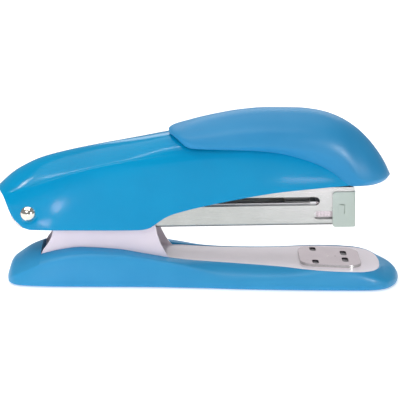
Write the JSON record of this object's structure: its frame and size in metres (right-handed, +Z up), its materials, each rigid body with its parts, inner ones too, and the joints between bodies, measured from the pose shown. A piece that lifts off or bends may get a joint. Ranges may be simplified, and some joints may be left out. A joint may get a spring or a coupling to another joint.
{
  "type": "stapler",
  "caption": "Half-strip desk stapler with a glossy blue head, a satin grip cap, a steel magazine, a white steel tray and a turning anvil.",
  "frame": {"origin": "centre of the stapler's outline, on the desk", "axes": "+X along the stapler towards its nose, +Y across it, +Z up"},
  "size_m": [0.146, 0.0364, 0.0634],
  "materials": {
    "blue_gloss": "gloss",
    "blue_satin": "satin",
    "blue_base": "satin",
    "pad_rubber": "matte",
    "white_paint": "satin",
    "chrome": "polished",
    "nickel_steel": "satin",
    "clip_steel": "satin",
    "anvil_steel": "satin",
    "plated_steel": "satin",
    "spring_steel": "satin",
    "blade_steel": "satin",
    "staple_wire": "satin",
    "pusher_steel": "satin"
  },
  "bodies": {
    "base": {"base_shell": "blue_base", "base_pad": "pad_rubber", "base_plate": "white_paint", "base_screws": "plated_steel", "hinge_pin": "chrome", "pin_cap": "chrome", "hinge_washers": "plated_steel", "lift_spring": "spring_steel", "lift_spring_rivet": "plated_steel", "anvil_spring": "spring_steel"},
    "anvil_carrier": {"anvil_spring_cup": "plated_steel"},
    "anvil": {"anvil": "anvil_steel", "anvil_post": "plated_steel"},
    "magazine": {"magazine_channel": "nickel_steel", "staple_rail": "nickel_steel", "rail_rivets": "plated_steel", "front_plate": "clip_steel", "pusher_rod": "plated_steel", "rod_bracket": "plated_steel", "staple_strip": "staple_wire", "pusher_spring": "spring_steel"},
    "pusher": {"pusher": "pusher_steel"},
    "head": {"head_shell": "blue_gloss", "shell_posts": "blue_gloss", "grip_cap": "blue_satin", "cap_posts": "blue_satin", "head_frame": "plated_steel", "driver_blade": "blade_steel", "driver_rivets": "plated_steel", "frame_screws": "plated_steel", "cap_screws": "plated_steel", "head_spring": "spring_steel"}
  },
  "joints": [
    {"name": "magazine_hinge", "type": "hinge", "parent": "base", "child": "magazine", "pos_m": [-0.0615, 0, 0.0265], "axis": [0, -1, 0], "range_deg": [-5.9, 40], "stiffness_Nm_per_rad": 1.5, "springref_deg": 2.58, "deforming": ["lift_spring"]},
    {"name": "head_hinge", "type": "hinge", "parent": "magazine", "child": "head", "pos_m": [-0.0615, 0, 0.0265], "axis": [0, -1, 0], "range_deg": [-4.3, 80], "stiffness_Nm_per_rad": 1, "springref_deg": 2.01, "deforming": ["head_spring"]},
    {"name": "pusher_slide", "type": "slide", "parent": "magazine", "child": "pusher", "axis": [0.9997, 0, 0.0236], "range_m": [-0.057, 0], "stiffness_N_per_m": 60, "springref_m": 0.05, "deforming": ["pusher_spring"]},
    {"name": "anvil_lift", "type": "slide", "parent": "base", "child": "anvil_carrier", "axis": [0.0314, 0, 0.9995], "range_m": [0, 0.0012], "stiffness_N_per_m": 400, "springref_m": -0.003, "deforming": ["anvil_spring"]},
    {"name": "anvil_turn", "type": "hinge", "parent": "anvil_carrier", "child": "anvil", "pos_m": [0.0477, 0, 0.00714], "axis": [0.0314, 0, 0.9995], "range_deg": [0, 180]}
  ]
}
